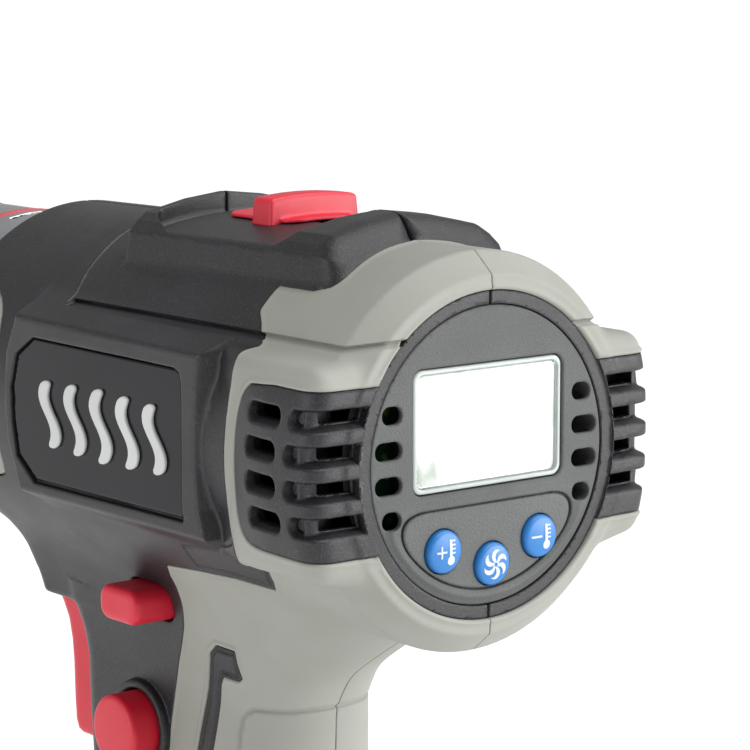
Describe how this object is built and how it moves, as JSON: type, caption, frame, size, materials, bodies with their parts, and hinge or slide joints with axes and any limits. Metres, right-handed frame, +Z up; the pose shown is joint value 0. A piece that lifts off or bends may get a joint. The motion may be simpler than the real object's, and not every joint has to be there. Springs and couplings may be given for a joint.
{
  "type": "heat gun",
  "caption": "Pistol-grip heat gun with a rear display and keys, side vents, top slider, trigger, lock-on and selector buttons, and a round steel nozzle in a heat sleeve.",
  "frame": {"origin": "middle of the hand grip, on the plane where the two housing halves meet", "axes": "+X along the air path towards the nozzle, +Y to the left of the user, +Z up from the grip to the barrel"},
  "size_m": [0.2513, 0.0928, 0.2398],
  "materials": {
    "black_plastic": "fine-grained moulded nylon",
    "grey_rubber": "soft matt overmould",
    "panel_plastic": "textured dark grey",
    "red_plastic": "satin",
    "blue_key": "glossy, domed",
    "badge_plastic": "high gloss",
    "display_glass": "clear window",
    "steel": "drawn steel, lightly brushed",
    "dark_steel": "zinc-plated, dull",
    "red_paint": "baked paint line",
    "heater_wire": "resistance wire",
    "mica": "pressed mica board",
    "circuit_board": "green solder mask",
    "pale_plastic": "satin"
  },
  "bodies": {
    "body": {"housing_left": "black_plastic", "housing_right": "black_plastic", "overmould_left": "grey_rubber", "overmould_right": "grey_rubber", "front_pad_left": "grey_rubber", "front_pad_right": "grey_rubber", "badge_left": "badge_plastic", "badge_right": "badge_plastic", "rear_panel": "panel_plastic", "keypad_sheet": "panel_plastic", "display_lens": "display_glass", "display_module": "pale_plastic", "control_board": "circuit_board", "board_screw_top": "dark_steel", "board_screw_left": "dark_steel", "board_screw_right": "dark_steel", "fan_duct": "black_plastic", "motor_can": "steel", "motor_end_cap": "black_plastic", "motor_bracket": "black_plastic", "nozzle_flange": "dark_steel", "nozzle_tube": "steel", "heat_sleeve": "steel", "sleeve_ring": "red_paint", "mica_tube": "mica", "heater_former": "mica", "heater_coil": "heater_wire", "thermocouple": "dark_steel", "slider_switch": "black_plastic", "trigger_switch": "black_plastic", "power_board": "circuit_board", "suppressor_capacitor": "pale_plastic", "terminal_block": "pale_plastic", "cord_gland": "black_plastic", "cord_clamp": "pale_plastic", "clamp_screw_rear": "dark_steel", "clamp_screw_front": "dark_steel", "housing_screw_1": "dark_steel", "housing_screw_2": "dark_steel", "housing_screw_3": "dark_steel", "housing_screw_4": "dark_steel", "housing_screw_5": "dark_steel", "housing_screw_6": "dark_steel", "housing_screw_7": "dark_steel"},
    "trigger": {"trigger": "red_plastic", "trigger_spring": "dark_steel"},
    "lock_button": {"lock_button": "red_plastic"},
    "selector": {"selector_bar": "red_plastic"},
    "mode_slider": {"top_slider": "red_plastic"},
    "key_up": {"key_temp_up": "blue_key"},
    "key_fan": {"key_fan": "blue_key"},
    "key_down": {"key_temp_down": "blue_key"},
    "rotor": {"rotor_shaft": "dark_steel", "fan_impeller": "black_plastic"}
  },
  "joints": [
    {"name": "trigger_pull", "type": "slide", "parent": "body", "child": "trigger", "axis": [-1, 0, 0], "range_m": [0, 0.006], "stiffness_N_per_m": 500, "springref_m": -0.004},
    {"name": "lock_press", "type": "slide", "parent": "body", "child": "lock_button", "axis": [0, -1, 0], "range_m": [0, 0.003], "stiffness_N_per_m": 600, "springref_m": -0.002},
    {"name": "selector_shift", "type": "slide", "parent": "body", "child": "selector", "axis": [0, -1, 0], "range_m": [0, 0.007]},
    {"name": "mode_shift", "type": "slide", "parent": "body", "child": "mode_slider", "axis": [1, 0, 0], "range_m": [0, 0.01]},
    {"name": "key_up_press", "type": "slide", "parent": "body", "child": "key_up", "axis": [1, 0, 0], "range_m": [0, 0.001], "stiffness_N_per_m": 500, "springref_m": -0.0006},
    {"name": "key_fan_press", "type": "slide", "parent": "body", "child": "key_fan", "axis": [1, 0, 0], "range_m": [0, 0.001], "stiffness_N_per_m": 500, "springref_m": -0.0006},
    {"name": "key_down_press", "type": "slide", "parent": "body", "child": "key_down", "axis": [1, 0, 0], "range_m": [0, 0.001], "stiffness_N_per_m": 500, "springref_m": -0.0006},
    {"name": "rotor_spin", "type": "hinge", "parent": "body", "child": "rotor", "pos_m": [0, 0, 0.125], "axis": [1, 0, 0], "continuous": true}
  ]
}
